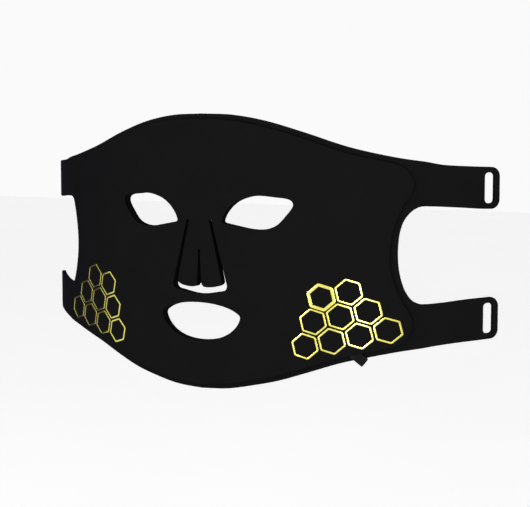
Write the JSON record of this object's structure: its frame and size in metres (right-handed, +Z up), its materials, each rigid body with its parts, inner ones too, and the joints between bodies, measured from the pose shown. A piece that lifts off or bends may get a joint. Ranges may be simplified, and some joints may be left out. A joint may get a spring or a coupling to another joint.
{
  "type": "led face mask",
  "caption": "Bent black silicone light therapy face mask with eye, nose and mouth openings, gold honeycomb trims and slotted strap arms.",
  "frame": {"origin": "on the outer face, on the centre line between the eyes and mouth, at mid height", "axes": "+Z up towards the crown edge, +X towards the wearer's left, -Y out of the outer face, so the skin side faces +Y"},
  "size_m": [0.3576, 0.0866, 0.1836],
  "materials": {
    "cover_silicone": "matte",
    "carrier_silicone": "matte",
    "arm_silicone": "matte",
    "nose_silicone": "matte",
    "liner_silicone": "satin, translucent",
    "flex_film": "satin",
    "led_red": "gloss",
    "led_infrared": "gloss",
    "gold_trim": "polished",
    "port_plastic": "matte",
    "port_metal": "polished",
    "contact_metal": "polished",
    "board_laminate": "satin",
    "chip_resin": "matte",
    "resistor_ceramic": "satin",
    "lead_red_jacket": "satin",
    "lead_black_jacket": "satin"
  },
  "bodies": {
    "mask_panel": {"front_cover": "cover_silicone", "carrier_shell": "carrier_silicone", "skin_liner": "liner_silicone", "led_flex": "flex_film", "leds_red": "led_red", "leds_infrared": "led_infrared", "honeycomb_left": "gold_trim", "honeycomb_right": "gold_trim", "port_housing": "port_plastic", "port_sleeve": "port_metal", "port_contact": "contact_metal", "driver_board": "board_laminate", "driver_chip": "chip_resin", "board_resistors": "resistor_ceramic", "board_inductor": "chip_resin", "lead_positive": "lead_red_jacket", "lead_negative": "lead_black_jacket"},
    "arm_upper_left": {"strap_arm_upper_left": "arm_silicone"},
    "arm_upper_right": {"strap_arm_upper_right": "arm_silicone"},
    "arm_lower_left": {"strap_arm_lower_left": "arm_silicone"},
    "arm_lower_right": {"strap_arm_lower_right": "arm_silicone"},
    "tongue": {"nose_tongue": "nose_silicone"},
    "flap_left": {"nose_flap_left": "nose_silicone"},
    "flap_right": {"nose_flap_right": "nose_silicone"}
  },
  "joints": [
    {"name": "flex_upper_left", "type": "hinge", "parent": "mask_panel", "child": "arm_upper_left", "pos_m": [0.14002, 0.04866, 0.046], "axis": [0, 0, 1], "range_deg": [-20, 60], "stiffness_Nm_per_rad": 0.02},
    {"name": "flex_upper_right", "type": "hinge", "parent": "mask_panel", "child": "arm_upper_right", "pos_m": [-0.14002, 0.04866, 0.046], "axis": [0, 0, -1], "range_deg": [-20, 60], "stiffness_Nm_per_rad": 0.02},
    {"name": "flex_lower_left", "type": "hinge", "parent": "mask_panel", "child": "arm_lower_left", "pos_m": [0.14002, 0.04866, -0.045], "axis": [0, 0, 1], "range_deg": [-20, 60], "stiffness_Nm_per_rad": 0.02},
    {"name": "flex_lower_right", "type": "hinge", "parent": "mask_panel", "child": "arm_lower_right", "pos_m": [-0.14002, 0.04866, -0.045], "axis": [0, 0, -1], "range_deg": [-20, 60], "stiffness_Nm_per_rad": 0.02},
    {"name": "tongue_lift", "type": "hinge", "parent": "mask_panel", "child": "tongue", "pos_m": [0, 0.00155, 0.0198], "axis": [-1, 0, 0], "range_deg": [-5, 35], "stiffness_Nm_per_rad": 0.006},
    {"name": "flap_left_lift", "type": "hinge", "parent": "tongue", "child": "flap_left", "pos_m": [0.0065, 0.0016, 0.002], "axis": [-1, 0, 0], "range_deg": [-5, 30], "stiffness_Nm_per_rad": 0.003},
    {"name": "flap_right_lift", "type": "hinge", "parent": "tongue", "child": "flap_right", "pos_m": [-0.0065, 0.0016, 0.002], "axis": [-1, 0, 0], "range_deg": [-5, 30], "stiffness_Nm_per_rad": 0.003}
  ]
}
